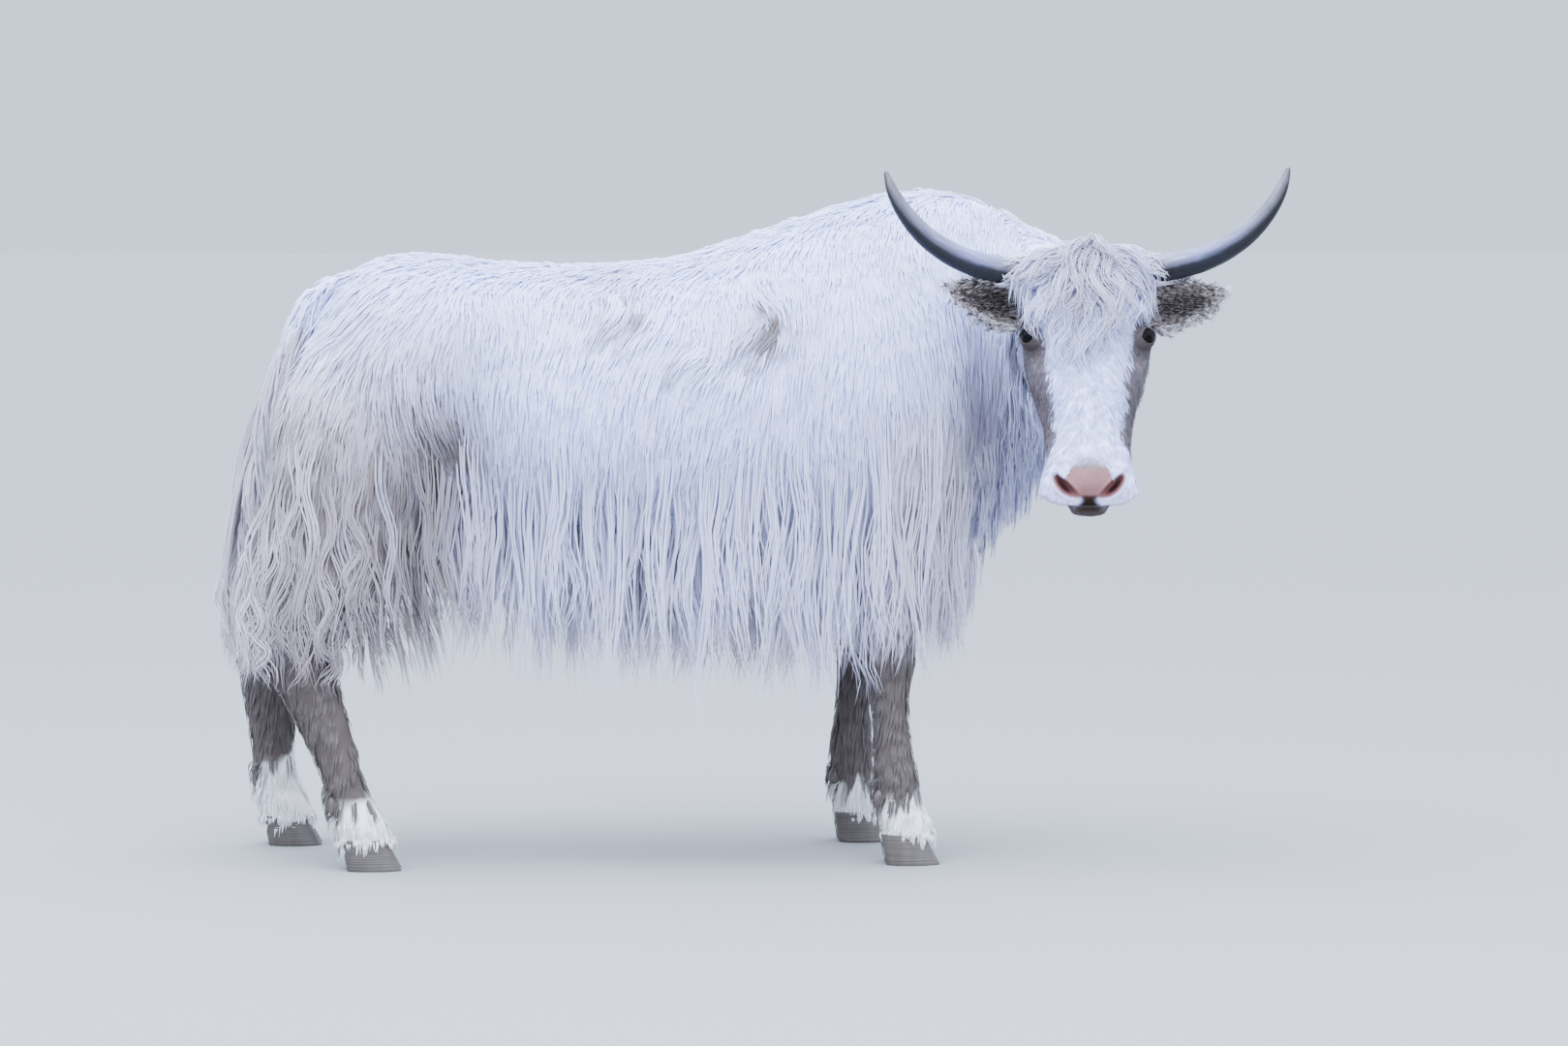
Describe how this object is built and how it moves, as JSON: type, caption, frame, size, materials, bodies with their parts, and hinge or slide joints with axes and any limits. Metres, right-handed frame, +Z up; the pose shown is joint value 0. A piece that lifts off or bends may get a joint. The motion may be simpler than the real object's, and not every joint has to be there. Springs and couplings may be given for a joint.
{
  "type": "yak",
  "caption": "Still life-size white domestic yak cow, standing with its head turned to its right, with up-curved horns, a long belly skirt and a bushy tail.",
  "frame": {"origin": "on the floor under the middle of the whole animal's box", "axes": "+X along the body towards the chest, +Y to the animal's left, +Z up"},
  "size_m": [1.9133, 0.9219, 1.2752],
  "materials": {
    "white_coat": "matt white hair with a cool cast",
    "cream_hair": "matt cream hair in long locks",
    "leg_coat": "matt grey-brown short hair, white at the feet",
    "ear_coat": "matt dark brown hair with a pale fringe",
    "bare_skin": "bare pink skin, slightly moist",
    "horn": "smooth dark grey horn, satin",
    "hoof": "dark hoof horn",
    "eye": "dark moist eye"
  },
  "bodies": {
    "root": {"torso": "white_coat", "skirt_left": "cream_hair", "skirt_right": "cream_hair", "neck": "white_coat", "head": "white_coat", "tail": "cream_hair", "ear_left": "ear_coat", "ear_right": "ear_coat", "horn_left": "horn", "horn_right": "horn", "eye_left": "eye", "eye_right": "eye", "udder": "bare_skin", "fore_leg_left": "leg_coat", "fore_hoof_left_inner": "hoof", "fore_hoof_left_outer": "hoof", "fore_leg_right": "leg_coat", "fore_hoof_right_inner": "hoof", "fore_hoof_right_outer": "hoof", "hind_leg_left": "leg_coat", "hind_hoof_left_inner": "hoof", "hind_hoof_left_outer": "hoof", "hind_leg_right": "leg_coat", "hind_hoof_right_inner": "hoof", "hind_hoof_right_outer": "hoof"}
  },
  "joints": []
}
